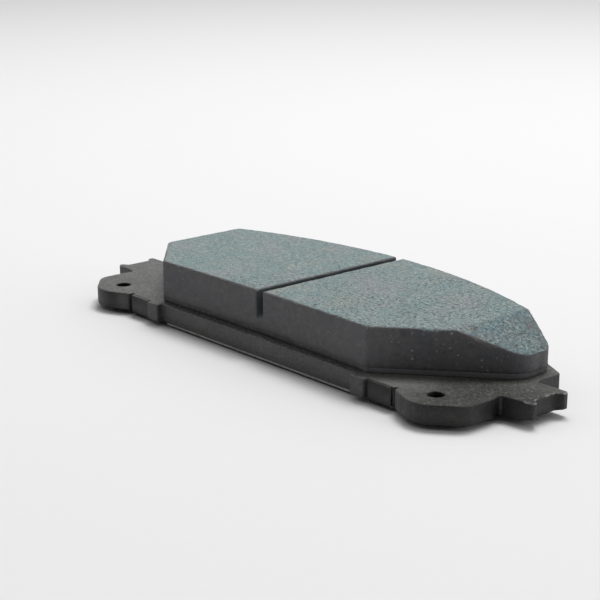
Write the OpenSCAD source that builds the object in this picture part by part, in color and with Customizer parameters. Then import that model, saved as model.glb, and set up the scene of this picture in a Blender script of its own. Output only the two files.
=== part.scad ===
// Disc brake pad for a car: pressed steel backing plate, moulded friction
// block with one radial slot and two end chamfers, and a clip-on noise shim
// on the back. Millimetres. +Z points out of the friction face, +X runs along
// the pad and +Y points away from the wheel centre (towards the convex edge).
// The origin is the centre of the bounding box on the shim's outer face.

/* [Backing plate] */
// Thickness of the steel backing plate
plate_t = 4.8; // [4.6:0.1:6]
// Distance from the centre line to the tips of the ears
ear_tip_x = 80.2; // [79.6:0.1:82]
// Depth of the shallow recess in each ear's end face
ear_recess = 1.7; // [1:0.1:2.2]
// Height of the lead-in bevel under each ear tip
ear_lead = 0.8; // [0.3:0.1:1.2]
// Lower edge of the ears, measured from the block's inner corners
ear_y0 = 12.4; // [12:0.1:13]
// Upper edge of the ears, measured from the block's inner corners
ear_y1 = 25.6; // [25:0.1:27]
// Distance from the centre line to the shoulder walls above the ears
shoulder_x = 70.6; // [70.4:0.1:71.2]
// Distance from the centre line to the outer side of each lug
lug_side_x = 71.8; // [71.6:0.1:72.6]
// How far the lugs reach below the block's inner corners
lug_drop = 5.9; // [5.4:0.1:6.4]
// Margin of steel around the friction block on the convex edge
rim = 1.6; // [1.2:0.1:2.2]
// Margin of steel below the friction block on the inner edge
inner_rim = 1.9; // [1.6:0.1:2.2]

/* [Spring holes] */
// Diameter of the two pad spring holes
spring_hole_d = 4; // [3.2:0.1:5]
// Distance from the centre line to each spring hole
spring_hole_x = 61.3; // [60:0.1:62.5]
// Height of the spring holes above the block's inner corners
spring_hole_y = 1.6; // [1:0.1:2.4]

/* [Friction block] */
// Thickness of the friction material above the underlayer
block_t = 10.2; // [8:0.1:11]
// Half length of the block's inner edge, corner to centre line
block_in_x = 40; // [39.5:0.1:40.5]
// Half length of the block at its widest
block_end_x = 68.2; // [67.8:0.1:69]
// Height of the convex edge above the inner corners, on the centre line
block_h = 51; // [50.6:0.1:51.4]
// Radius of the convex edge
block_arc_r = 143; // [141:0.5:146]
// How far the middle of the inner edge is set back
inner_bow = 0.75; // [0.3:0.05:1.2]
// Rise angle of the slanted ends
end_angle = 40.5; // [39.5:0.1:41.5]
// Distance from the centre line to the ridges where the chamfers start
ridge_x = 55.5; // [52:0.1:58]
// Drop of the friction face across one chamfer
chamfer_drop = 5.8; // [3:0.1:6.4]
// Width of the radial slot
slot_w = 2.3; // [1.5:0.1:3]
// Depth of the radial slot
slot_depth = 7.3; // [5:0.1:7.8]

/* [Underlayer] */
// Thickness of the underlayer that carries the block
under_t = 1.2; // [1:0.1:1.6]
// Step between the side of the block and the side of the underlayer
under_step = 0.15; // [0.1:0.05:0.5]
// Thickness of the cured adhesive film on the plate
film_t = 0.1; // [0.05:0.05:0.2]
// Diameter of the keying holes that the underlayer fills
key_d = 11; // [9:0.5:13]
// Distance from the centre line to each keying hole
key_x = 26; // [22:0.5:30]
// Height of the keying holes above the inner corners
key_y = 24; // [20:0.5:28]

/* [Shim] */
// Thickness of the shim's steel core
core_t = 0.5; // [0.4:0.05:0.6]
// Thickness of the rubber facing on the outer side of the shim
coat_t = 0.6; // [0.3:0.05:0.7]
// Thickness of the damping layer between shim and plate
damp_t = 0.1; // [0.05:0.05:0.2]
// Inner distance of each lower tab from the centre line
tab_in_x = 43.7; // [43.4:0.1:44.5]
// Outer distance of each lower tab from the centre line
tab_out_x = 51.2; // [50:0.1:51.4]
// Distance from the centre line to the middle of each upper tab
top_tab_x = 30; // [24:0.5:36]
// Width of the upper tabs
top_tab_w = 8; // [6:0.5:10]
// Inside radius of the tab bends
bend_r = 0.3; // [0.2:0.05:0.4]

/* [Hidden] */

shim_t = coat_t + core_t + damp_t;
z_plate = shim_t;
z_top = z_plate + plate_t;
z_film = z_top + film_t;
z_under = z_film + under_t;
z_face = z_under + block_t;

arc_cy = block_h - block_arc_r;
plate_arc_r = block_arc_r + rim;
y_low = -lug_drop;
y_high = block_h + rim;
y_mid = (y_low + y_high) / 2;
tab_seat_y = -2.1;
tab_gap = 0.12;

function unit(v) = v / norm(v);

// Points of a fillet of radius r at corner b between corners a and c
function corner(a, b, c, r) = r <= 0 ? [[b.x, b.y]] :
    let (u = unit([a.x - b.x, a.y - b.y]), v = unit([c.x - b.x, c.y - b.y]),
         half = acos(u * v) / 2,
         m = [b.x, b.y] + unit(u + v) * (r / sin(half)),
         s = [b.x, b.y] + u * (r / tan(half)) - m,
         e = [b.x, b.y] + v * (r / tan(half)) - m,
         a0 = atan2(s.y, s.x),
         d0 = atan2(e.y, e.x) - a0,
         d = d0 > 180 ? d0 - 360 : d0 < -180 ? d0 + 360 : d0,
         n = max(2, ceil(abs(d) / 9)))
    [for (i = [0:n]) m + r * [cos(a0 + d * i / n), sin(a0 + d * i / n)]];

// Closed outline with every corner [x, y, r] rounded to its own radius
function rounded(p) = [for (i = [0:len(p) - 1])
    each corner(p[(i + len(p) - 1) % len(p)], p[i], p[(i + 1) % len(p)], p[i].z)];

// Right half of an outline plus its mirror image
function both(p) = concat(p, [for (i = [len(p) - 1:-1:0]) [-p[i].x, p[i].y, p[i].z]]);

// Points on the convex arc of radius r from x0 down to just right of centre
function far_arc(r, x0, n) = [for (i = [0:n])
    let (a = asin(x0 / r) * (1 - i / (n + 0.5))) [r * sin(a), arc_cy + r * cos(a), 0]];

// Outline of the block, drawn in by g on every side
function block_right(g) =
    let (bow_r = (block_in_x * block_in_x + inner_bow * inner_bow) / (2 * inner_bow),
         t = tan(end_angle), sx = g / sin(end_angle),
         nx = block_in_x + sx - g / t, ex = block_end_x - g,
         ey = (ex - block_in_x - sx) * t, r = block_arc_r - g)
    concat([for (i = [1:8]) let (x = nx * (i - 0.5) / 8.5)
                [x, g + inner_bow - x * x / (2 * bow_r), 0]],
           [[nx, g, 0.9], [ex, ey, 7], [ex, arc_cy + sqrt(r * r - ex * ex), 5]],
           far_arc(r, ex - 5, 16));

// Outline of the backing plate
plate_right = concat([
    [38.0, -inner_rim, 0.4], [38.2, -3.6, 0.5], [42.9, -3.6, 0.5],
    [42.9, tab_seat_y, 0.3], [51.6, tab_seat_y, 0.35], [51.6, -1.4, 0.2],
    [52.6, -1.4, 0.4], [52.6, -2.9, 0.7],
    [58.8, -lug_drop, 7], [63.8, -lug_drop, 7],
    [lug_side_x, 0.9, 5], [lug_side_x, 9.2, 1.4],
    [lug_side_x - 0.6, ear_y0 - 0.2, 0.9],
    [ear_tip_x - 0.1, ear_y0 + 0.7, 0.7], [ear_tip_x, ear_y0 + 2.1, 0.6],
    [ear_tip_x - ear_recess, ear_y0 + 3.2, 0.8], [ear_tip_x - ear_recess, ear_y1 - 2.7, 0.8],
    [ear_tip_x, ear_y1 - 1.7, 0.6], [ear_tip_x, ear_y1, 0.8],
    [shoulder_x, ear_y1, 0.8],
    [shoulder_x, arc_cy + sqrt(plate_arc_r * plate_arc_r - shoulder_x * shoulder_x), 1.2]],
    far_arc(plate_arc_r, shoulder_x - 2.2, 18));

// Outline of the shim's flat part, drawn in by g on every side
function shim_right(g) =
    let (r = plate_arc_r - 1.1 - g)
    concat([[36.6 - g, 0.15 - inner_rim + g, 1.2], [38.4 - g, 0.9 + g, 0.9],
            [50.6 - g, 0.9 + g, 3], [61 - g, 10 + g, 4], [65.6 - g, 17 + g, 5],
            [65.6 - g, arc_cy + sqrt(r * r - 65.6 * 65.6), 3]],
           far_arc(r, 61.5, 16));

module flat(pts, z, t) translate([0, -y_mid, z]) linear_extrude(t) polygon(pts);

// Section of a bent tab: the flat leg runs to -X from the bend and the
// standing leg rises to h; the outer face of the standing leg is at x = 0
module tab_section(leg, h) {
    o = bend_r + core_t;
    translate([-leg, 0]) square([leg - o, core_t]);
    intersection() {
        translate([-o, 0]) square([o, o]);
        difference() {
            translate([-o, o]) circle(r = o, $fn = 48);
            translate([-o, o]) circle(r = bend_r, $fn = 48);
        }
    }
    translate([-core_t, o]) square([core_t, h - o]);
}

// One tab of width w whose standing leg faces -Y at height y
module low_tab(x0, x1, y, leg, h)
    translate([x0, y - y_mid, coat_t]) rotate([90, 0, 90]) mirror([1, 0, 0])
        linear_extrude(x1 - x0) tab_section(leg, h);

// One tab of width w whose standing leg faces +Y at height y
module high_tab(x0, x1, y, leg, h)
    translate([x0, y - y_mid, coat_t]) rotate([90, 0, 90])
        linear_extrude(x1 - x0) tab_section(leg, h);

module backing_plate() {
    color("#3b3c3d") difference() {
        flat(rounded(both(plate_right)), z_plate, plate_t);
        for (s = [-1, 1]) {
            translate([s * spring_hole_x, spring_hole_y - y_mid, z_plate - 1])
                cylinder(d = spring_hole_d, h = plate_t + 2, $fn = 64);
            translate([s * key_x, key_y - y_mid, z_plate - 1])
                cylinder(d = key_d, h = plate_t + 2, $fn = 64);
        }
        // lead-in bevels under the ear tips
        for (s = [0, 1]) mirror([s, 0, 0])
            translate([0, 60, 0]) rotate([90, 0, 0]) linear_extrude(120)
                polygon([[ear_tip_x - 3.5, z_plate], [ear_tip_x + 3.5, z_plate + 2 * ear_lead],
                         [ear_tip_x + 3.5, z_plate - 2 * ear_lead],
                         [ear_tip_x - 3.5, z_plate - 2 * ear_lead]]);
    }
}

module friction_block() {
    run = block_end_x - ridge_x;
    color("#7d9697") difference() {
        flat(rounded(both(block_right(0))), z_under, block_t);
        // end chamfers, each a plane that falls away from its ridge
        for (s = [0, 1]) mirror([s, 0, 0])
            translate([0, 60, 0]) rotate([90, 0, 0]) linear_extrude(120)
                polygon([[ridge_x, z_face], [ridge_x - run, z_face + chamfer_drop],
                         [ridge_x + 2 * run, z_face + chamfer_drop],
                         [ridge_x + 2 * run, z_face - 2 * chamfer_drop]]);
        // radial slot with a round floor
        translate([-slot_w / 2, -60, z_face - slot_depth + slot_w / 2])
            cube([slot_w, 120, slot_depth]);
        translate([0, 60, z_face - slot_depth + slot_w / 2])
            rotate([90, 0, 0]) cylinder(d = slot_w, h = 120, $fn = 48);
    }
}

module underlayer() {
    color("#2b2c2d") {
        flat(rounded(both(block_right(under_step))), z_film, under_t);
        for (s = [-1, 1]) translate([s * key_x, key_y - y_mid, z_plate])
            cylinder(d = key_d - 0.04, h = z_under - z_plate - under_t / 2, $fn = 64);
    }
}

module adhesive_film() {
    color("#6d5a3c") difference() {
        flat(rounded(both(block_right(under_step + 0.1))), z_top, film_t);
        for (s = [-1, 1]) translate([s * key_x, key_y - y_mid, z_top - 1])
            cylinder(d = key_d, h = film_t + 2, $fn = 64);
    }
}

module shim_core() {
    seat = tab_seat_y - tab_gap - core_t;
    h = z_top - coat_t - 0.15;
    color("#9a9c9e") {
        flat(rounded(both(shim_right(0))), coat_t, core_t);
        for (s = [-1, 1]) {
            low_tab(s > 0 ? tab_in_x : -tab_out_x, s > 0 ? tab_out_x : -tab_in_x, seat, 6.5, h);
            high_tab(s * top_tab_x - top_tab_w / 2, s * top_tab_x + top_tab_w / 2,
                     arc_cy + sqrt(pow(plate_arc_r, 2) - pow(top_tab_x - top_tab_w / 2, 2))
                     + tab_gap + core_t, 5, h);
        }
    }
}

module shim_damping_layer()
    color("#1e1f20") flat(rounded(both(shim_right(0.3))), coat_t + core_t, damp_t);

module shim_face_coat()
    color("#26282a") flat(rounded(both(shim_right(0.2))), 0, coat_t);

backing_plate();
friction_block();
underlayer();
adhesive_film();
shim_core();
shim_damping_layer();
shim_face_coat();
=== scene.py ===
import math

import bmesh
import bpy
import numpy as np
from mathutils import Matrix, Vector
from mathutils.bvhtree import BVHTree
from mathutils.kdtree import KDTree


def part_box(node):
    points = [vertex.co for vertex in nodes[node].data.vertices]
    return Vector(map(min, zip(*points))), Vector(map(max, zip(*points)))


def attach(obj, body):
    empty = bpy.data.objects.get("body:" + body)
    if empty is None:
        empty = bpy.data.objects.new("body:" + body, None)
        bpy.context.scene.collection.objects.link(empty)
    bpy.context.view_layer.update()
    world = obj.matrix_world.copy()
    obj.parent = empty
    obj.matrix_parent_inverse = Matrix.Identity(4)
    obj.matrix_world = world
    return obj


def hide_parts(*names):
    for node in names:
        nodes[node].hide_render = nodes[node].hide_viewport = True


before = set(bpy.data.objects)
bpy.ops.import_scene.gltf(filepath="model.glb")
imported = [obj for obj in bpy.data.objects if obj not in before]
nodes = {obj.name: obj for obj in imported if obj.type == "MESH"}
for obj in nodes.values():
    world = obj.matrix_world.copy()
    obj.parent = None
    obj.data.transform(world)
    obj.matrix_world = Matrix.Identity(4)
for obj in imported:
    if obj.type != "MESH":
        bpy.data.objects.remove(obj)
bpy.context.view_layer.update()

MM = 0.001

# Heights of the layers, read from the frame
plate_lo, plate_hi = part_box("backing_plate")
block_lo, block_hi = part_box("friction_block")
under_lo, under_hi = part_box("underlayer")
core_lo, core_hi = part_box("shim_core")
coat_lo, coat_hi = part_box("shim_face_coat")
Z_FACE = block_hi[2] / MM            # friction face
Z_PLATE = plate_hi[2] / MM           # top of the plate
Z_PLATE0 = plate_lo[2] / MM          # back of the plate
Z_CORE1 = Z_PLATE0 - 0.1             # upper side of the shim's steel sheet
BLOCK_END = block_hi[0] / MM
RIDGE = 55.5
CHAMFER = 5.8
SLOT_W = 2.3
SLOT_D = 7.3


# ---------------------------------------------------------------- noise
def _hash(ix, iy, iz, seed):
    h = (ix.astype(np.int64) * 374761393 + iy.astype(np.int64) * 668265263
         + iz.astype(np.int64) * 2147483647 + seed * 1274126177) & 0xFFFFFFFF
    h = ((h ^ (h >> 13)) * 1274126177) & 0xFFFFFFFF
    h = ((h ^ (h >> 16)) * 2246822519) & 0xFFFFFFFF
    return ((h ^ (h >> 15)) & 0xFFFFFF) / float(0xFFFFFF)


def vnoise(p, size, seed=0):
    """Smooth value noise in 0..1 with cells of the given size."""
    q = p / size
    i = np.floor(q).astype(np.int64)
    f = q - i
    f = f * f * (3 - 2 * f)
    out = 0
    for dx in (0, 1):
        for dy in (0, 1):
            for dz in (0, 1):
                w = ((f[:, 0] if dx else 1 - f[:, 0])
                     * (f[:, 1] if dy else 1 - f[:, 1])
                     * (f[:, 2] if dz else 1 - f[:, 2]))
                out = out + w * _hash(i[:, 0] + dx, i[:, 1] + dy, i[:, 2] + dz, seed)
    return out


def fbm(p, size, octaves=3, seed=0):
    out, amp, tot = 0, 1.0, 0.0
    for k in range(octaves):
        out = out + amp * vnoise(p + 17.3 * k, size / 2 ** k, seed + k)
        tot += amp
        amp *= 0.5
    return out / tot


def smooth(a, b, x):
    t = np.clip((x - a) / (b - a), 0, 1)
    return t * t * (3 - 2 * t)


# ---------------------------------------------------------------- mesh help
def get_co(me):
    co = np.empty(len(me.vertices) * 3)
    me.vertices.foreach_get("co", co)
    return co.reshape(-1, 3) / MM


def set_co(me, co):
    me.vertices.foreach_set("co", (co * MM).ravel())
    me.update()


def get_normals(me):
    n = np.empty(len(me.vertices) * 3)
    me.vertex_normals.foreach_get("vector", n)
    return n.reshape(-1, 3)


def new_object(name, me):
    o = bpy.data.objects.new(name, me)
    bpy.context.scene.collection.objects.link(o)
    return o


def clean_copy(node):
    """The node's shape as a bmesh with its flat faces merged, in metres."""
    bm = bmesh.new()
    bm.from_mesh(nodes[node].data)
    bmesh.ops.remove_doubles(bm, verts=bm.verts, dist=2e-6)
    bmesh.ops.dissolve_limit(bm, angle_limit=math.radians(0.6), verts=bm.verts, edges=bm.edges)
    bm.normal_update()
    return bm


def rim_edges(bm, z, low=45, tol=0.02):
    """Sharp edges whose two ends lie at height z (mm)."""
    out = []
    for e in bm.edges:
        if len(e.link_faces) != 2:
            continue
        if all(abs(v.co.z / MM - z) < tol for v in e.verts) and e.calc_face_angle(0) > math.radians(low):
            out.append(e)
    return out


def bevel(bm, edges, width, segments=2):
    if edges:
        bmesh.ops.bevel(bm, geom=edges, offset=width * MM, offset_type="OFFSET",
                        segments=segments, profile=0.5, affect="EDGES", clamp_overlap=False,
                        miter_outer="SHARP", miter_inner="SHARP")


def shade(o, angle=35):
    for p in o.data.polygons:
        p.use_smooth = True
    o.data.set_sharp_from_angle(angle=math.radians(angle))


def voxel_copy(node, name, size):
    me = nodes[node].data.copy()
    o = new_object(name + "_src", me)
    m = o.modifiers.new("voxels", "REMESH")
    m.mode = "VOXEL"
    m.voxel_size = size * MM
    m.adaptivity = 0.0
    dg = bpy.context.evaluated_depsgraph_get()
    out = bpy.data.meshes.new_from_object(o.evaluated_get(dg))
    bpy.data.objects.remove(o)
    out.name = name
    return new_object(name, out)


def set_attr(me, name, values):
    a = me.attributes.new(name, "FLOAT", "POINT")
    a.data.foreach_set("value", np.asarray(values, dtype=np.float32))


# ---------------------------------------------------------------- shader help
class Mat:
    """A small helper that builds one procedural material."""

    def __init__(self, name):
        self.m = bpy.data.materials.new(name)
        self.m.use_nodes = True
        self.t = self.m.node_tree
        self.b = self.t.nodes["Principled BSDF"]
        tc = self.t.nodes.new("ShaderNodeTexCoord")
        s = self.t.nodes.new("ShaderNodeVectorMath")
        s.operation = "SCALE"
        self.t.links.new(tc.outputs["Object"], s.inputs[0])
        s.inputs["Scale"].default_value = 1000.0
        self.mm = s.outputs[0]               # position in millimetres
        self._xyz = None

    def put(self, sock, v):
        if isinstance(v, bpy.types.NodeSocket):
            self.t.links.new(v, sock)
        elif isinstance(v, (tuple, list)) and len(v) == 3 and len(sock.default_value) == 4:
            sock.default_value = (*v, 1)
        else:
            sock.default_value = v

    def xyz(self):
        if self._xyz is None:
            n = self.t.nodes.new("ShaderNodeSeparateXYZ")
            self.put(n.inputs[0], self.mm)
            self._xyz = n.outputs
        return self._xyz

    def scaled(self, v, rot=(0, 0, 0), loc=(0, 0, 0)):
        n = self.t.nodes.new("ShaderNodeMapping")
        self.put(n.inputs["Vector"], self.mm)
        n.inputs["Scale"].default_value = v
        n.inputs["Rotation"].default_value = rot
        n.inputs["Location"].default_value = loc
        return n.outputs[0]

    def noise(self, size, detail=3, rough=0.55, vec=None, distort=0.0, colour=False):
        n = self.t.nodes.new("ShaderNodeTexNoise")
        self.put(n.inputs["Vector"], vec if vec is not None else self.mm)
        n.inputs["Scale"].default_value = 1.0 / size
        n.inputs["Detail"].default_value = detail
        n.inputs["Roughness"].default_value = rough
        n.inputs["Distortion"].default_value = distort
        return n.outputs["Color" if colour else "Fac"]

    def cells(self, size, out="Distance", vec=None, rand=1.0, feature="F1"):
        n = self.t.nodes.new("ShaderNodeTexVoronoi")
        n.feature = feature
        self.put(n.inputs["Vector"], vec if vec is not None else self.mm)
        n.inputs["Scale"].default_value = 1.0 / size
        n.inputs["Randomness"].default_value = rand
        return n.outputs[out]

    def f(self, op, a, b=0.0, c=0.0, clamp=False):
        n = self.t.nodes.new("ShaderNodeMath")
        n.operation = op
        n.use_clamp = clamp
        self.put(n.inputs[0], a)
        self.put(n.inputs[1], b)
        if len(n.inputs) > 2:
            self.put(n.inputs[2], c)
        return n.outputs[0]

    def step(self, x, lo, hi, a=0.0, b=1.0):
        n = self.t.nodes.new("ShaderNodeMapRange")
        n.interpolation_type = "SMOOTHSTEP"
        self.put(n.inputs["Value"], x)
        n.inputs["From Min"].default_value = lo
        n.inputs["From Max"].default_value = hi
        n.inputs["To Min"].default_value = a
        n.inputs["To Max"].default_value = b
        return n.outputs[0]

    def mix(self, fac, a, b, blend="MIX"):
        n = self.t.nodes.new("ShaderNodeMix")
        n.data_type = "RGBA"
        n.blend_type = blend
        self.put(n.inputs["Factor"], fac)
        self.put(n.inputs[6], a)
        self.put(n.inputs[7], b)
        return n.outputs[2]

    def ramp(self, fac, stops):
        n = self.t.nodes.new("ShaderNodeValToRGB")
        self.put(n.inputs[0], fac)
        e = n.color_ramp.elements
        while len(e) < len(stops):
            e.new(0.5)
        for k, (p, c) in enumerate(stops):
            e[k].position = p
            e[k].color = (*c, 1)
        return n.outputs[0]

    def attr(self, name):
        n = self.t.nodes.new("ShaderNodeAttribute")
        n.attribute_type = "GEOMETRY"
        n.attribute_name = name
        return n.outputs["Fac"]

    def normal_z(self):
        g = self.t.nodes.new("ShaderNodeNewGeometry")
        s = self.t.nodes.new("ShaderNodeSeparateXYZ")
        self.t.links.new(g.outputs["Normal"], s.inputs[0])
        return s.outputs

    def bump(self, height, depth, normal=None, strength=1.0):
        n = self.t.nodes.new("ShaderNodeBump")
        n.inputs["Strength"].default_value = strength
        n.inputs["Distance"].default_value = depth * MM
        self.put(n.inputs["Height"], height)
        if normal is not None:
            self.put(n.inputs["Normal"], normal)
        return n.outputs[0]

    def set(self, **kw):
        for k, v in kw.items():
            self.put(self.b.inputs[k.replace("_", " ")], v)
        return self.m


def paint(o, *mats):
    index = [p.material_index for p in o.data.polygons]
    o.data.materials.clear()
    for m in mats:
        o.data.materials.append(m)
    if len(mats) > 1:
        o.data.polygons.foreach_set("material_index", index)


# ---------------------------------------------------------------- materials
def friction_material():
    m = Mat("friction_compound")
    x, y, z = m.xyz()
    ax = m.f("ABSOLUTE", x)
    # height of the point above the ground faces, 0 on them
    fall = m.f("MULTIPLY", m.f("MAXIMUM", m.f("SUBTRACT", ax, RIDGE), 0.0), CHAMFER / (BLOCK_END - RIDGE))
    h = m.f("SUBTRACT", m.f("ADD", z, fall), Z_FACE)
    edge = m.attr("edge")
    chip = m.attr("chip")
    lag = m.step(y, -17.0, 12.0, 3.4, 0.0)
    ar = m.f("SUBTRACT", ax, lag)
    on_chamfer = m.step(ar, RIDGE - 1.4, RIDGE + 0.8)

    fine = m.noise(0.42, 4, 0.72)
    mid = m.noise(1.15, 4, 0.70)
    big = m.noise(8.0, 3, 0.60)
    tone = m.noise(12.0, 3, 0.60, vec=m.scaled((1, 1, 1), loc=(41, 7, 3)))
    rough_zone = m.noise(16.0, 3, 0.60, vec=m.scaled((1, 1, 1), loc=(5, 61, 9)))
    streak = m.noise(0.72, 5, 0.74, vec=m.scaled((0.95, 0.85, 0.80)))

    # ground face: teal grey, patchy, with blue and pink-grey areas
    base = m.ramp(mid, [(0.28, (0.118, 0.164, 0.163)), (0.45, (0.178, 0.232, 0.229)),
                        (0.57, (0.222, 0.278, 0.272)), (0.72, (0.302, 0.360, 0.350))])
    base = m.mix(m.step(big, 0.46, 0.70, 0, 0.55), base, (0.150, 0.240, 0.252))
    base = m.mix(m.step(tone, 0.48, 0.66, 0, 0.58), base, (0.255, 0.262, 0.263))
    beige = m.f("MULTIPLY", m.step(m.noise(10.0, 2, 0.5, vec=m.scaled((1, 1, 1), loc=(3, 17, 70))), 0.56, 0.72),
                m.f("SUBTRACT", 1.0, m.step(ax, 14.0, 34.0)))
    base = m.mix(m.f("MULTIPLY", beige, 0.50), base, (0.290, 0.288, 0.245))
    # fine grain, light and dark
    coarse_w = m.step(x, -20.0, 48.0, 0.66, 1.0)
    base = m.mix(m.f("MULTIPLY", m.step(fine, 0.31, 0.51, 1.0, 0.0), coarse_w), base, (0.050, 0.068, 0.072))
    base = m.mix(m.f("MULTIPLY", m.step(fine, 0.52, 0.72, 0.0, 0.82), coarse_w), base, (0.460, 0.512, 0.498))
    # open pits, more of them where the face was ground rougher
    pit = m.f("SUBTRACT", 1.0, m.step(m.noise(0.80, 3, 0.68, vec=m.scaled((0.70, 1.1, 1.0), loc=(8, 2, 5))), 0.34, 0.46))
    pit_w = m.step(m.f("ADD", rough_zone, m.f("MULTIPLY", x, 0.0040)), 0.40, 0.66, 0.26, 1.0)
    pit = m.f("MULTIPLY", pit, pit_w)
    base = m.mix(m.f("MULTIPLY", pit, 0.85), base, (0.050, 0.060, 0.064))
    # single grains that differ: pale, rust pink, dark blue, all small
    g = m.t.nodes.new("ShaderNodeSeparateColor")
    m.put(g.inputs[0], m.cells(0.80, "Color"))
    gr = m.f("SUBTRACT", 1.0, m.step(m.cells(0.80), 0.18, 0.34))
    base = m.mix(m.f("MULTIPLY", gr, m.step(g.outputs[0], 0.940, 0.955, 0, 0.42)), base, (0.420, 0.300, 0.285))
    base = m.mix(m.f("MULTIPLY", gr, m.step(g.outputs[1], 0.935, 0.950, 0, 0.60)), base, (0.070, 0.120, 0.150))
    base = m.mix(m.f("MULTIPLY", gr, m.step(g.outputs[2], 0.955, 0.970, 0, 0.60)), base, (0.560, 0.610, 0.590))
    # chamfers: coarser, darker, short furrows
    rough_c = m.ramp(streak, [(0.36, (0.022, 0.034, 0.040)), (0.45, (0.112, 0.154, 0.160)),
                              (0.54, (0.225, 0.292, 0.292)), (0.65, (0.500, 0.575, 0.560))])
    rough_c = m.mix(m.step(big, 0.42, 0.62, 0, 0.50), rough_c, (0.135, 0.215, 0.235))
    rough_c = m.mix(m.step(tone, 0.46, 0.62, 0, 0.25), rough_c, (0.170, 0.182, 0.190))
    rough_c = m.mix(m.step(y, -4.0, 20.0, 0, 0.42), rough_c, (0.098, 0.122, 0.130))
    base = m.mix(m.f("MULTIPLY", on_chamfer, 0.85), base, rough_c)
    # bluish band along each ridge, widest on the inner side of the pad
    near_in = m.step(y, -24.0, 12.0, 1.0, 0.35)
    ridge_w = m.step(y, -18.0, -2.0, 3.2, 0.95)
    ridge = m.f("DIVIDE", m.f("ABSOLUTE", m.f("SUBTRACT", ar, RIDGE + 0.2)), ridge_w)
    ridge = m.f("SUBTRACT", 1.0, m.step(ridge, 0.10, 1.0))
    ridge = m.f("MULTIPLY", m.f("MULTIPLY", ridge, near_in), m.step(m.noise(2.6, 3, 0.65), 0.36, 0.60))
    base = m.mix(m.f("MULTIPLY", ridge, 0.70), base, (0.105, 0.205, 0.262))

    # moulded sides: charcoal, with a few small pale, pink and teal specks
    side = m.ramp(m.noise(1.6, 4, 0.66), [(0.30, (0.110, 0.1095, 0.112)), (0.52, (0.132, 0.131, 0.133)),
                                          (0.74, (0.154, 0.153, 0.154))])
    side = m.mix(m.step(fine, 0.50, 0.80, 0, 0.30), side, (0.185, 0.184, 0.185))
    side = m.mix(m.step(fine, 0.22, 0.44, 0.42, 0.0), side, (0.045, 0.045, 0.047))
    # cool violet and green casts over large areas
    side = m.mix(m.step(big, 0.40, 0.64, 0, 0.35), side, (0.108, 0.110, 0.124))
    end_zone = m.step(ax, 38.0, 48.0)
    wide = m.noise(3.0, 3, 0.62, vec=m.scaled((1, 1, 1), loc=(19, 4, 12)))
    side = m.mix(m.f("MULTIPLY", end_zone, m.step(wide, 0.50, 0.70, 0, 0.50)), side, (0.075, 0.095, 0.105))
    side = m.mix(m.f("MULTIPLY", end_zone, m.step(wide, 0.28, 0.44, 0.45, 0)), side, (0.055, 0.056, 0.062))
    dcol = m.t.nodes.new("ShaderNodeSeparateColor")
    m.put(dcol.inputs[0], m.cells(1.15, "Color"))
    irregular = m.f("ADD", m.cells(1.15), m.f("MULTIPLY", m.f("SUBTRACT", fine, 0.5), 0.45))
    spot = m.f("MULTIPLY", m.f("SUBTRACT", 1.0, m.step(irregular, 0.10, 0.31)), m.step(dcol.outputs[0], 0.46, 0.54))
    spot_c = m.ramp(dcol.outputs[1], [(0.0, (0.215, 0.217, 0.222)), (0.50, (0.175, 0.183, 0.190)),
                                      (0.66, (0.200, 0.145, 0.145)), (0.80, (0.120, 0.190, 0.190)),
                                      (0.955, (0.400, 0.400, 0.380))])
    side = m.mix(m.f("MULTIPLY", spot, m.f("ADD", m.f("MULTIPLY", end_zone, 0.62), 0.33)), side, spot_c)
    # short pale fibres lying in the surface
    fib = m.cells(3.8, vec=m.scaled((0.55, 3.4, 3.4), rot=(0.4, 0.5, 0.7)))
    fib = m.f("MULTIPLY", m.f("SUBTRACT", 1.0, m.step(fib, 0.04, 0.09)), m.step(m.noise(7.0, 1), 0.55, 0.62))
    side = m.mix(m.f("MULTIPLY", fib, 0.45), side, (0.260, 0.255, 0.235))
    # painted shade: darker just above the plate, where the block meets it
    foot = m.step(m.f("ADD", z, m.f("MULTIPLY", m.f("SUBTRACT", mid, 0.5), 1.2)), block_lo[2] / MM - 0.2, block_lo[2] / MM + 1.3)
    side = m.mix(m.f("MULTIPLY", m.f("SUBTRACT", 1.0, foot), 0.35), side, (0.070, 0.070, 0.072))

    # slot walls: sawn, dark teal
    slot_in = m.f("MULTIPLY", m.f("LESS_THAN", ax, SLOT_W / 2 + 0.10), m.step(h, -0.55, -0.15, 1, 0))
    slot_in = m.f("MULTIPLY", slot_in, m.f("GREATER_THAN", z, Z_FACE - SLOT_D - 0.05))
    side = m.mix(m.f("MULTIPLY", slot_in, 0.90), side, (0.070, 0.086, 0.092))

    # the ground colour reaches a little over the edge, more in a few places
    wob = m.f("ADD", m.f("MULTIPLY", m.noise(0.8, 3, 0.6), 0.30),
              m.f("MULTIPLY", m.step(m.noise(2.6, 2, 0.6), 0.64, 0.76), 0.80))
    spill = m.f("SUBTRACT", 1.0, m.step(m.f("ABSOLUTE", m.f("SUBTRACT", ax, 51.5)), 0.6, 2.4))
    wob = m.f("ADD", wob, m.f("MULTIPLY", spill, m.f("MULTIPLY", m.noise(0.9, 3, 0.6), 1.7)))
    face = m.step(m.f("ADD", h, wob), -0.02, 0.10)
    # paler along the rims of the ground faces: edge wear, partly a painted highlight
    base = m.mix(m.f("MULTIPLY", edge, 0.24), base, (0.400, 0.440, 0.430))
    base = m.mix(0.035, base, (0.0, 0.0, 0.0))
    colour = m.mix(face, side, base)
    # fresh breaks where the edge has chipped
    colour = m.mix(m.step(chip, 0.15, 0.75, 0, 0.62), colour,
                   m.mix(m.noise(1.1, 2), (0.090, 0.100, 0.102), (0.330, 0.320, 0.305)))

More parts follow.
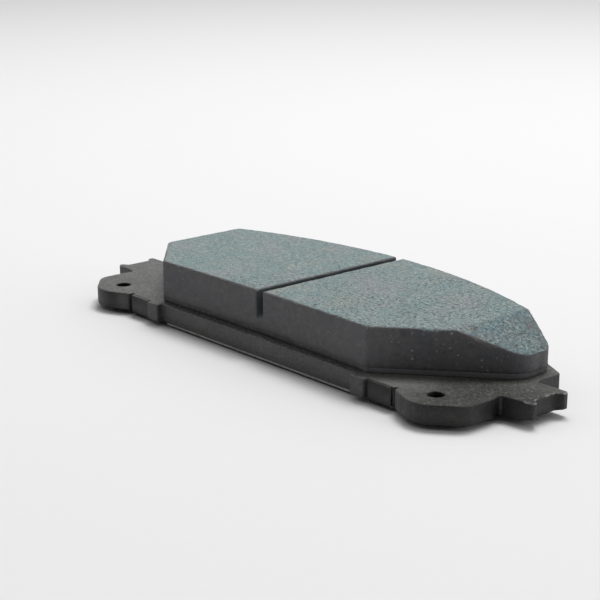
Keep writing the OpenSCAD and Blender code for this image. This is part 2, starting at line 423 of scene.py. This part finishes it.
    # a few metal flecks
    fl = m.t.nodes.new("ShaderNodeSeparateColor")
    m.put(fl.inputs[0], m.cells(0.62, "Color"))
    fleck = m.f("MULTIPLY", m.f("SUBTRACT", 1.0, m.step(m.cells(0.62), 0.10, 0.24)), m.step(fl.outputs[1], 0.965, 0.978))
    fleck = m.f("MULTIPLY", fleck, m.f("ADD", m.f("MULTIPLY", face, 0.55), 0.15))
    colour = m.mix(fleck, colour, (0.620, 0.600, 0.560))

    # relief: pits and grain on the ground faces, finer grit on the moulded skin
    coarse = m.f("SUBTRACT", m.f("MULTIPLY", mid, 0.8), m.f("MULTIPLY", m.f("MULTIPLY", pit, face), 0.7))
    flat = m.bump(fine, 0.14, m.bump(coarse, 0.20))
    nrm = m.bump(fine, 0.11, m.bump(streak, 0.36, m.bump(coarse, 0.15)))
    mixn = m.t.nodes.new("ShaderNodeMix")
    mixn.data_type = "VECTOR"
    m.put(mixn.inputs[0], m.f("MULTIPLY", on_chamfer, face))
    m.put(mixn.inputs[4], flat)
    m.put(mixn.inputs[5], nrm)
    rough = m.step(m.f("ADD", m.f("MULTIPLY", fine, 0.5), m.f("MULTIPLY", mid, 0.5)), 0.3, 0.7, 0.93, 0.74)
    rough = m.f("SUBTRACT", rough, m.f("MULTIPLY", fleck, 0.40))
    m.b.inputs["Specular IOR Level"].default_value = 0.32
    return m.set(Base_Color=colour, Roughness=rough, Metallic=m.f("MULTIPLY", fleck, 0.8), Normal=mixn.outputs[1])


def plate_material():
    m = Mat("black_powder_coat")
    x, y, z = m.xyz()
    n = m.normal_z()
    up = m.step(n[2], 0.5, 0.95)
    grit = m.noise(0.62, 5, 0.78)
    peel = m.noise(1.5, 3, 0.6)
    patch = m.noise(9.0, 4, 0.60)
    cloud = m.noise(3.4, 4, 0.66)
    # walls: smooth satin black, with painted light between the lugs and painted shade on the lugs and ears; top: a
    # little greyer, fine and sandy
    wall = m.ramp(patch, [(0.34, (0.0560, 0.0548, 0.0548)), (0.55, (0.0650, 0.0636, 0.0636)),
                          (0.72, (0.0760, 0.0740, 0.0730))])
    # painted shade: the walls of the lugs and ears are much darker than those between them
    wall = m.mix(m.step(m.f("ABSOLUTE", x), 54.4, 57.0, 0, 0.94), wall, (0.0075, 0.0071, 0.0075))
    top = m.ramp(cloud, [(0.32, (0.034, 0.0345, 0.0325)), (0.52, (0.052, 0.0525, 0.0490)),
                         (0.70, (0.078, 0.0780, 0.0740))])
    # painted shade: the top of the right lug and ear is darker, most on the near side
    top = m.mix(m.f("MULTIPLY", m.step(x, 52.0, 66.0, 0, 0.55), m.step(y, -9.0, 3.0, 1.0, 0.2)), top, (0.018, 0.018, 0.017))
    # painted light: the top beside the block's slanted right end is lighter, against the shade there
    top = m.mix(m.f("MULTIPLY", m.step(x, 36.0, 42.0), m.step(x, 48.0, 62.0, 0.55, 0.0)), top, (0.125, 0.126, 0.115))
    col = m.mix(up, wall, top)
    col = m.mix(m.f("MULTIPLY", m.step(grit, 0.50, 0.70, 0, 0.80), m.f("ADD", m.f("MULTIPLY", up, 0.85), 0.15)),
                col, (0.170, 0.170, 0.163))
    col = m.mix(m.step(grit, 0.28, 0.48, 0.80, 0), col, (0.008, 0.0085, 0.0080))
    # green-grey grinding dust that has settled on the top
    dust = m.f("MULTIPLY", m.f("MULTIPLY", m.step(m.noise(4.2, 4, 0.66, vec=m.scaled((1, 1, 1), loc=(7, 31, 2))), 0.46, 0.70), up), 0.40)
    col = m.mix(dust, col, (0.088, 0.098, 0.078))
    # olive cast on parts of the walls
    # along the block's straight inner edge: the plate's rim strip is painted lighter (painted light against the
    # block's shade), then broken by dark noisy spots of painted shade
    y_low = plate_lo[1] / MM + 5.9
    band = m.f("MULTIPLY", m.f("LESS_THAN", y, y_low + 0.9), m.f("LESS_THAN", m.f("ABSOLUTE", x), 41.0))
    band = m.f("MULTIPLY", m.f("MULTIPLY", band, up), m.step(m.noise(0.85, 3, 0.62), 0.43, 0.55, 1.0, 0.0))
    # painted light on the rim strip beside the block
    painted_light_strip = m.f("MULTIPLY", m.f("MULTIPLY", m.f("LESS_THAN", y, y_low + 0.9), m.f("LESS_THAN", m.f("ABSOLUTE", x), 41.0)), up)
    col = m.mix(m.f("MULTIPLY", painted_light_strip, 0.6), col, (0.135, 0.134, 0.130))
    # painted shade in dark noisy spots over that strip
    col = m.mix(m.f("MULTIPLY", band, 0.85), col, (0.016, 0.016, 0.0155))
    olive = m.f("MULTIPLY", m.step(m.noise(5.0, 3, 0.6, vec=m.scaled((1, 1, 1), loc=(2, 9, 44))), 0.58, 0.72), 0.40)
    col = m.mix(olive, col, (0.038, 0.040, 0.026))
    # rims: the coating thins there and is a little lighter; the bright metallic spots are sparse wear on all rims and
    # a painted highlight along the ear's near rim
    edge = m.f("MULTIPLY", m.attr("edge"), m.step(z, Z_PLATE - 0.45, Z_PLATE - 0.25))
    edge = m.f("MULTIPLY", edge, m.f("SUBTRACT", 1.0, m.step(n[2], 0.90, 0.985)))
    spotty = m.step(m.noise(2.4, 3, 0.60), 0.40, 0.62)
    ear = m.step(m.f("ABSOLUTE", x), 75.4, 78.8)
    # sparse wear on every rim, painted highlight in the ear zone
    wear_and_highlight = m.f("MULTIPLY", m.f("MULTIPLY", edge, spotty), m.f("ADD", m.f("MULTIPLY", ear, 0.75), 0.05))
    col = m.mix(m.f("MULTIPLY", edge, 0.06), col, (0.110, 0.109, 0.106))
    col = m.mix(m.f("MULTIPLY", wear_and_highlight, 0.90), col, (0.400, 0.392, 0.380))
    # press marks on the vertical walls
    w = m.f("SUBTRACT", 1.0, m.step(n[2], 0.15, 0.5))
    shear = m.noise(0.55, 3, 0.6, vec=m.scaled((1.0, 1.0, 0.10)))
    frac = m.step(m.f("ADD", z, m.f("MULTIPLY", m.noise(2.4, 3), 1.1)), Z_PLATE0 + 1.7, Z_PLATE0 + 2.0)
    shear = m.f("MULTIPLY", m.f("MULTIPLY", shear, w), m.f("ADD", m.f("MULTIPLY", frac, 0.5), 0.3))
    nrm = m.bump(peel, 0.06)
    nrm = m.bump(grit, 0.085, nrm)
    nrm = m.bump(shear, 0.12, nrm)
    rough = m.step(grit, 0.3, 0.7, 0.56, 0.40)
    rough = m.f("ADD", rough, m.f("MULTIPLY", dust, 0.3))
    rough = m.f("ADD", rough, m.f("MULTIPLY", up, m.step(x, 50.0, 70.0, 0, 0.22)))
    dull = m.f("MULTIPLY", m.f("MULTIPLY", up, m.step(x, 48.0, 64.0)), m.step(y, -9.0, 3.0, 1.0, 0.15))
    return m.set(Base_Color=col, Roughness=rough, Metallic=m.f("MULTIPLY", wear_and_highlight, 0.6), Normal=nrm,
                 Specular_IOR_Level=m.f("SUBTRACT", 0.48, m.f("MULTIPLY", dull, 0.30)))


def underlayer_material():
    m = Mat("underlayer_compound")
    x, y, z = m.xyz()
    mid = m.noise(1.1, 4, 0.65)
    fine = m.noise(0.35, 3, 0.7)
    col = m.ramp(mid, [(0.32, (0.084, 0.084, 0.090)), (0.55, (0.128, 0.128, 0.134)), (0.75, (0.182, 0.181, 0.182))])
    # painted shade: darker towards the plate, in the crevice where the underlayer meets it
    low = m.step(m.f("ADD", z, m.f("MULTIPLY", m.f("SUBTRACT", m.noise(1.8, 3), 0.5), 1.0)), Z_PLATE + 0.1, Z_PLATE + 0.9)
    col = m.mix(m.f("MULTIPLY", m.f("SUBTRACT", 1.0, low), 0.60), col, (0.072, 0.072, 0.074))
    # painted light: paler, like the block above it, along the slanted inner corner on the near side, against the
    # shade there
    painted_light_slant = m.f("MULTIPLY", m.step(x, 36.0, 43.0), m.step(y, -4.0, 6.0, 1.0, 0.0))
    col = m.mix(m.f("MULTIPLY", painted_light_slant, 0.80), col, (0.270, 0.272, 0.290))
    sp = m.t.nodes.new("ShaderNodeSeparateColor")
    m.put(sp.inputs[0], m.cells(1.4, "Color"))
    spot = m.f("MULTIPLY", m.f("SUBTRACT", 1.0, m.step(m.cells(1.4), 0.08, 0.24)), m.step(sp.outputs[0], 0.72, 0.80))
    col = m.mix(m.f("MULTIPLY", spot, 0.55), col, (0.120, 0.122, 0.118))
    nrm = m.bump(fine, 0.10, m.bump(mid, 0.18))
    m.b.inputs["Specular IOR Level"].default_value = 0.3
    return m.set(Base_Color=col, Roughness=m.step(mid, 0.3, 0.7, 0.92, 0.74), Normal=nrm)


def adhesive_material():
    m = Mat("cured_adhesive")
    mid = m.noise(1.4, 4, 0.6)
    col = m.ramp(mid, [(0.32, (0.020, 0.014, 0.008)), (0.55, (0.045, 0.031, 0.017)), (0.75, (0.090, 0.062, 0.034))])
    nrm = m.bump(m.noise(0.4, 3, 0.6), 0.04, m.bump(mid, 0.05))
    return m.set(Base_Color=col, Roughness=m.step(mid, 0.3, 0.7, 0.55, 0.34), Normal=nrm)


def cut_edge_material():
    """Bright sheared edge of the stainless sheet."""
    m = Mat("shim_cut_edge")
    line = m.noise(0.32, 3, 0.65, vec=m.scaled((1.0, 1.0, 0.16)))
    spot = m.noise(2.2, 3, 0.6)
    col = m.ramp(spot, [(0.32, (0.300, 0.290, 0.275)), (0.55, (0.400, 0.388, 0.370)), (0.75, (0.520, 0.505, 0.485))])
    col = m.mix(m.step(line, 0.35, 0.60, 0.25, 0), col, (0.200, 0.190, 0.178))
    x, y, z = m.xyz()
    tab = m.step(z, core_lo[2] / MM + 0.60, core_lo[2] / MM + 0.75)
    col = m.mix(m.f("MULTIPLY", tab, m.step(m.noise(0.9, 3, 0.65), 0.36, 0.64, 0.97, 0.80)), col, (0.020, 0.0195, 0.0190))
    nrm = m.bump(line, 0.03)
    return m.set(Base_Color=col, Roughness=m.step(line, 0.3, 0.7, 0.50, 0.32), Metallic=0.45, Normal=nrm)


def coated_sheet_material():
    """Dark thin rubber lacquer over the sheet's faces, with the rolling grain showing."""
    m = Mat("shim_coated_face")
    grain = m.noise(0.35, 4, 0.6, vec=m.scaled((0.06, 1.0, 1.0)))
    patch = m.noise(4.0, 4, 0.6)
    col = m.ramp(patch, [(0.34, (0.006, 0.006, 0.0065)), (0.56, (0.010, 0.010, 0.0105)), (0.76, (0.018, 0.0175, 0.0175))])
    col = m.mix(m.step(grain, 0.50, 0.75, 0, 0.25), col, (0.040, 0.040, 0.039))
    x, y, z = m.xyz()
    top = core_hi[2] / MM
    scuff = m.f("MULTIPLY", m.step(m.f("ADD", z, m.f("MULTIPLY", m.noise(1.3, 4, 0.7), 0.5)), top + 0.05, top + 0.30),
                m.step(m.noise(1.0, 3, 0.6), 0.40, 0.60))
    col = m.mix(m.f("MULTIPLY", scuff, 0.65), col, (0.260, 0.248, 0.232))
    nrm = m.bump(grain, 0.02, m.bump(m.noise(0.7, 3), 0.03))
    return m.set(Base_Color=col, Roughness=m.step(patch, 0.3, 0.7, 0.52, 0.36), Metallic=m.f("MULTIPLY", scuff, 0.7), Normal=nrm)


def rubber_material(name, tone_and_painted_light=1.0):
    m = Mat(name)
    g = m.noise(0.42, 4, 0.7)
    weave = m.cells(0.62)
    patch = m.noise(14.0, 3, 0.55)
    # tone_and_painted_light scales every colour; for the facing it is painted light
    c = lambda v: tuple(tone_and_painted_light * k for k in v)
    col = m.ramp(patch, [(0.34, c((0.018, 0.0185, 0.020))), (0.55, c((0.026, 0.0265, 0.028))), (0.75, c((0.038, 0.038, 0.039)))])
    col = m.mix(m.step(g, 0.52, 0.78, 0, 0.45), col, c((0.080, 0.080, 0.080)))
    # faint rub marks
    rub = m.noise(2.0, 4, 0.65, vec=m.scaled((0.16, 1.3, 1.0), rot=(0, 0, 0.35)))
    col = m.mix(m.step(rub, 0.60, 0.74, 0, 0.30), col, c((0.100, 0.100, 0.098)))
    nz = m.f("ABSOLUTE", m.normal_z()[2])
    edge = m.f("MULTIPLY", m.attr("edge"), m.f("SUBTRACT", 1.0, m.step(nz, 0.90, 0.985)))
    col = m.mix(m.f("MULTIPLY", edge, m.step(m.noise(1.5, 3, 0.6), 0.45, 0.65, 0.1, 0.7)), col, c((0.060, 0.060, 0.059)))
    nrm = m.bump(weave, 0.03, m.bump(g, 0.05))
    m.b.inputs["Specular IOR Level"].default_value = 0.35
    return m.set(Base_Color=col, Roughness=m.step(g, 0.3, 0.7, 0.86, 0.66), Normal=nrm)


# ---------------------------------------------------------------- friction block
def sharp_samples(node, keep, step=0.35):
    """Points along the node's sharp edges for which keep(a, b) is true, with the outward mean normal."""
    bm = clean_copy(node)
    pts, nrm, lens = [], [], []
    for e in bm.edges:
        if len(e.link_faces) != 2 or e.calc_face_angle(0) < math.radians(12):
            continue
        a, b = (np.array(v.co) / MM for v in e.verts)
        if not keep(a, b):
            continue
        n = np.array((e.link_faces[0].normal + e.link_faces[1].normal).normalized())
        k = max(1, int(np.linalg.norm(b - a) / step))
        for t in (np.arange(k) + 0.5) / k:
            pts.append(a + (b - a) * t)
            nrm.append(n)
    bm.free()
    return np.array(pts), np.array(nrm)


def ground_height(x):
    return Z_FACE - np.maximum(0, np.abs(x) - RIDGE) * CHAMFER / (BLOCK_END - RIDGE)


def scoop(co, centres, radii, seed):
    """Presses a ball into the surface at each centre; returns how deep each point went."""
    depth = np.zeros(len(co))
    kd = KDTree(len(co))
    for i, p in enumerate(co):
        kd.insert(p, i)
    kd.balance()
    for c, r in zip(centres, radii):
        near = kd.find_range(Vector(c), r * 1.3)
        if not near:
            continue
        idx = np.array([q[1] for q in near])
        v = co[idx] - c
        d = np.linalg.norm(v, axis=1) + 1e-9
        rr = r * (0.80 + 0.40 * vnoise(v / d[:, None] * 2.0 + c, 0.8, seed))
        hit = d < rr
        if hit.any():
            j = idx[hit]
            move = (rr[hit] - d[hit])
            co[j] += v[hit] / d[hit][:, None] * move[:, None]
            depth[j] = np.maximum(depth[j], move)
    return depth


def foot_line():
    """The block's outline at its foot, as segments in millimetres."""
    bm = clean_copy("friction_block")
    z0 = block_lo[2] / MM
    a, b = [], []
    for e in bm.edges:
        p, q = (np.array(v.co) / MM for v in e.verts)
        if max(p[2], q[2]) < z0 + 0.02 and len(e.link_faces) == 2 and e.calc_face_angle(0) > 0.5:
            a.append(p[:2])
            b.append(q[:2])
    bm.free()
    return np.array(a), np.array(b)


def nearest_on_segments(p, a, b):
    best = np.full(len(p), 1e9)
    out = p.copy()
    for s, e in zip(a, b):
        d = e - s
        t = np.clip(((p - s) @ d) / max(d @ d, 1e-12), 0, 1)
        q = s + t[:, None] * d
        r = np.linalg.norm(q - p, axis=1)
        m = r < best
        best[m] = r[m]
        out[m] = q[m]
    return out


def make_block():
    o = voxel_copy("friction_block", "friction_block_body", 0.42)
    me = o.data
    co = get_co(me)
    rng = np.random.default_rng(7)

    def ground(p):
        return abs(p[2] - ground_height(p[0])) < 0.05

    # rims of the ground faces, the ridges among them
    rim_p, rim_n = sharp_samples("friction_block", lambda a, b: ground(a) and ground(b))
    is_ridge = (np.abs(np.abs(rim_p[:, 0]) - RIDGE) < 0.05)
    rim_p, rim_n = rim_p[~is_ridge], rim_n[~is_ridge]
    up_p, up_n = sharp_samples("friction_block", lambda a, b: abs(a[2] - b[2]) > 1.0)
    low_p, low_n = sharp_samples("friction_block", lambda a, b: max(a[2], b[2]) < block_lo[2] / MM + 0.05)

    # worn rounding along the rims, uneven along their length
    kd = KDTree(len(rim_p))
    for i, p in enumerate(rim_p):
        kd.insert(p, i)
    kd.balance()
    near = [kd.find(p) for p in co]
    d = np.array([q[2] for q in near])
    ni = np.array([q[1] for q in near])
    n = rim_n[ni]
    wear = 0.05 + 0.26 * smooth(0.35, 0.85, fbm(co, 3.2, 3, 3))
    co -= n * (wear * np.clip(1 - d / 0.85, 0, 1) ** 1.5)[:, None]

    # chips along the rims: many small, few large
    k = 150
    pick = rng.choice(len(rim_p), k, replace=False)
    r = 0.28 + 0.75 * rng.random(k) ** 4.0
    dep = r * (0.32 + 0.38 * rng.random(k))
    c = rim_p[pick] + rim_n[pick] * (r - dep)[:, None] + rng.normal(0, 0.12, (k, 3))
    depth = scoop(co, c, r, 11)
    # a few breaks on the upright corners
    k = 16
    pick = rng.choice(len(up_p), k, replace=False)
    r = 0.30 + 0.45 * rng.random(k) ** 3
    c = up_p[pick] + up_n[pick] * (r * 0.55)[:, None]
    depth = np.maximum(depth, scoop(co, c, r, 12))
    at_slot = np.where((np.abs(up_p[:, 0]) < SLOT_W / 2 + 0.2))[0]
    if len(at_slot):
        pick = at_slot[rng.integers(0, len(at_slot), 34)]
        r = 0.22 + 0.42 * rng.random(34) ** 2
        c = up_p[pick] + up_n[pick] * (r * 0.45)[:, None]
        depth = np.maximum(depth, 0.4 * scoop(co, c, r, 14))
    # pores on the ground faces
    k = 230
    px = rng.uniform(-BLOCK_END + 2, BLOCK_END - 2, k)
    py = rng.uniform(block_lo[1] / MM + 1, block_hi[1] / MM - 1, k)
    r = 0.40 + 0.55 * rng.random(k) ** 3
    c = np.stack([px, py, ground_height(px) + r * 0.80], 1)
    pore = scoop(co, c, r, 13)

    me.update()
    set_co(me, co)
    nv = get_normals(me)
    # small unevenness: moulded skin on the sides, ground grain on top
    h = co[:, 2] - ground_height(co[:, 0])
    top = smooth(-0.5, -0.15, h)
    chamf = top * smooth(RIDGE - 0.5, RIDGE + 1.0, np.abs(co[:, 0]))
    grain = fbm(co, 1.5, 3, 21) - 0.5
    furrow = fbm(co * np.array([0.45, 1.6, 1.0]), 1.2, 3, 22) - 0.5
    skin = fbm(co * np.array([1.0, 1.0, 0.55]), 2.6, 3, 23) - 0.5
    amp = top * grain * 0.10 + chamf * furrow * 0.34 + (1 - top) * skin * 0.13
    low = co[:, 2] < block_lo[2] / MM + 0.12
    amp = np.where(low, 0, amp - 0.04)
    co += nv * amp[:, None]
    # the foot keeps its moulded outline down to the underlayer
    z0 = block_lo[2] / MM
    foot = np.where(co[:, 2] < z0 + 0.5)[0]
    a, b = foot_line()
    q = nearest_on_segments(co[foot][:, :2], a, b)
    off = q - co[foot][:, :2]
    dist = np.linalg.norm(off, axis=1)
    near_rim = dist < 0.34
    pull = np.where(co[foot][:, 2] < z0 + 0.24, 1.0, 0.6)
    co[foot[near_rim], :2] += off[near_rim] * pull[near_rim][:, None]
    co[foot[co[foot][:, 2] < z0 + 0.24], 2] = z0
    # stay inside the CAD solid's box
    for ax in range(3):
        co[:, ax] = np.clip(co[:, ax], block_lo[ax] / MM, block_hi[ax] / MM)
    set_co(me, co)
    set_attr(me, "edge", np.clip(1 - d / 0.75, 0, 1) ** 1.3)
    set_attr(me, "chip", np.clip(depth / 0.10, 0, 1))
    for p in me.polygons:
        p.use_smooth = True
    paint(o, friction_material())
    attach(o, "root")
    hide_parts("friction_block")
    return o


# ---------------------------------------------------------------- pieces from the CAD outline
def edge_attr(me, width):
    """Nearness of each vertex to a rim, from the bevel faces around it."""
    n = get_normals(me)
    v = np.clip(1 - np.maximum(np.abs(n[:, 2]), np.hypot(n[:, 0], n[:, 1])), 0, 1) / 0.29
    set_attr(me, "edge", np.clip(v, 0, 1))


def finish_piece(name, bm, mat, node, angle=35, mats=None):
    me = bpy.data.meshes.new(name)
    bm.normal_update()
    bm.to_mesh(me)
    bm.free()
    o = new_object(name, me)
    shade(o, angle)
    paint(o, *(mats or [mat]))
    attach(o, "root")
    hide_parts(node)
    return o


def make_plate():
    bm = clean_copy("backing_plate")
    top = rim_edges(bm, Z_PLATE)
    bevel(bm, top, 0.34, 3)
    low = [e for e in bm.edges if len(e.link_faces) == 2
           and all(v.co.z / MM < Z_PLATE0 + 0.9 for v in e.verts)
           and e.calc_face_angle(0) > math.radians(50)]
    bevel(bm, low, 0.26, 2)
    layer = bm.verts.layers.float.new("edge")
    for v in bm.verts:
        z = v.co.z / MM
        s = sum(1 for f in v.link_faces if 0.12 < abs(f.normal.z) < 0.95)
        v[layer] = 1.0 if s else 0.0
    return finish_piece("plate_body", bm, plate_material(), "backing_plate", 30)


def make_underlayer():
    bm = clean_copy("underlayer")
    z0, z1 = Z_PLATE + 0.1, block_lo[2] / MM
    side = [e for e in bm.edges if all(abs(v.co.z / MM - z0) < 0.02 or abs(v.co.z / MM - z1) < 0.02 for v in e.verts)
            and len(e.link_faces) == 2 and e.calc_face_angle(0) > math.radians(60)
            and (e.verts[0].co - e.verts[1].co).length > 1.2 * MM]
    bmesh.ops.subdivide_edges(bm, edges=side, cuts=5, use_grid_fill=True)
    bm.verts.ensure_lookup_table()
    lo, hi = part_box("underlayer")
    for v in bm.verts:
        p = np.array([v.co]) / MM
        if p[0, 2] < z0 - 0.05:
            continue
        a = float(vnoise(p, 1.7, 31)[0]) - 0.35 - (0.55 if p[0, 2] < z0 + 0.05 else 0.0)
        if p[0, 2] > z1 - 0.05:
            a = 0.5 + 0.25 * a
        r = Vector((v.co.x, v.co.y, 0))
        if r.length > 0.01:
            v.co += r.normalized() * a * 0.22 * MM
    rims = rim_edges(bm, z0, 50, 0.05) + rim_edges(bm, z1, 50, 0.05)
    return finish_piece("underlayer_body", bm, underlayer_material(), "underlayer", 40)


def make_shim():
    bm = clean_copy("shim_core")
    z_hi = core_hi[2] / MM
    bmesh.ops.triangulate(bm, faces=[f for f in bm.faces if len(f.verts) > 60])
    for f in bm.faces:
        n, c = f.normal, f.calc_center_median() / MM
        cut = False
        if c.z < Z_CORE1 + 0.01 and abs(n.z) < 0.3 and c.z > coat_hi[2] / MM + 0.02:
            cut = True
        if c.z > z_hi - 0.02 and n.z > 0.7:
            cut = True
        if c.z > Z_CORE1 and abs(n.x) > 0.85:
            cut = True
        f.material_index = 1 if cut else 0
    sharp = [e for e in bm.edges if len(e.link_faces) == 2 and e.calc_face_angle(0) > math.radians(60)
             and e.link_faces[0].material_index != e.link_faces[1].material_index]
    bmesh.ops.bevel(bm, geom=sharp, offset=0.07 * MM, offset_type="OFFSET", segments=1, profile=0.5,
                    affect="EDGES", clamp_overlap=True, material=1)
    return finish_piece("shim_sheet", bm, None, "shim_core", 30,
                        mats=[coated_sheet_material(), cut_edge_material()])


def make_facing():
    bm = clean_copy("shim_face_coat")
    layer = bm.verts.layers.float.new("edge")
    rims = rim_edges(bm, coat_lo[2] / MM)
    bevel(bm, rims, 0.14, 2)
    for v in bm.verts:
        s = any(0.12 < abs(f.normal.z) < 0.95 for f in v.link_faces)
        v[bm.verts.layers.float["edge"]] = 1.0 if s else 0.0
    # the facing's rubber is 2.3 times lighter than the plain rubber: painted light, where it lies in shade by the
    # floor
    return finish_piece("shim_facing", bm, rubber_material("shim_rubber_facing", 2.3), "shim_face_coat", 30)


block = make_block()
plate = make_plate()
under = make_underlayer()
shim = make_shim()
facing = make_facing()
paint(nodes["adhesive_film"], adhesive_material())
paint(nodes["shim_damping_layer"], rubber_material("damping_rubber", 0.7))


# ---------------------------------------------------------------- stage, light, camera
def make_floor():
    me = bpy.data.meshes.new("floor")
    s = 6.0
    me.from_pydata([(-s, -s, 0), (s, -s, 0), (s, s, 0), (-s, s, 0)], [], [(0, 1, 2, 3)])
    o = new_object("floor", me)
    m = Mat("floor_paper")
    grain = m.noise(3.0, 4, 0.6)
    col = m.mix(grain, (0.710, 0.705, 0.708), (0.724, 0.719, 0.722))
    m.b.inputs["Specular IOR Level"].default_value = 0.2
    m.set(Base_Color=col, Roughness=0.85, Normal=m.bump(grain, 0.02))
    paint(o, m.m)


def area(name, loc, target, size, power, colour=(1, 1, 1)):
    d = bpy.data.lights.new(name, "AREA")
    d.shape = "RECTANGLE"
    d.size, d.size_y = size
    d.energy = power
    d.color = colour
    o = bpy.data.objects.new(name, d)
    bpy.context.scene.collection.objects.link(o)
    o.location = loc
    o.rotation_mode = "QUATERNION"
    o.rotation_quaternion = (Vector(target) - Vector(loc)).to_track_quat("-Z", "Y")
    return o


make_floor()
world = bpy.data.worlds.new("studio")
bpy.context.scene.world = world
world.use_nodes = True
wt = world.node_tree
wtc = wt.nodes.new("ShaderNodeTexCoord")
wdot = wt.nodes.new("ShaderNodeVectorMath")
wdot.operation = "DOT_PRODUCT"
wdot.inputs[1].default_value = (0.58, -0.80, -0.12)
wmap = wt.nodes.new("ShaderNodeMapRange")
wmap.interpolation_type = "SMOOTHSTEP"
wmap.inputs["From Min"].default_value = -0.28
wmap.inputs["From Max"].default_value = 0.50
wmap.inputs["To Min"].default_value = 0.850
wmap.inputs["To Max"].default_value = 0.02
wt.links.new(wtc.outputs["Generated"], wdot.inputs[0])
wt.links.new(wdot.outputs["Value"], wmap.inputs["Value"])
wbg = wt.nodes["Background"]
wbg.inputs["Color"].default_value = (0.992, 0.992, 1.0, 1)
wt.links.new(wmap.outputs[0], wbg.inputs["Strength"])
area("key_overhead", (-0.20, 0.42, 1.15), (0, 0, 0), (0.60, 0.42), 11.6)
area("side_right", (1.10, 0.50, 0.45), (0, 0, 0), (0.7, 0.6), 2.0)

f_px, az, el, dist = 1524.46, math.radians(48.683), math.radians(16.191), 0.461214 * 0.957
target = Vector((-34.385 * 0.957 * MM, (45.398 * 0.957 - 23.35) * MM, 0))
back = Vector((math.sin(az) * math.cos(el), -math.cos(az) * math.cos(el), math.sin(el)))
cam_d = bpy.data.cameras.new("camera")
cam_d.sensor_width = 36.0
cam_d.lens = f_px * 36.0 / 600.0
cam_d.shift_y = -0.0025
cam_d.clip_start, cam_d.clip_end = 0.01, 50
cam = bpy.data.objects.new("camera", cam_d)
bpy.context.scene.collection.objects.link(cam)
cam.location = target + back * dist
cam.rotation_mode = "QUATERNION"
cam.rotation_quaternion = (-back).to_track_quat("-Z", "Y")
bpy.context.scene.camera = cam
bpy.context.scene.view_settings.view_transform = "Standard"
bpy.context.scene.view_settings.look = "None"
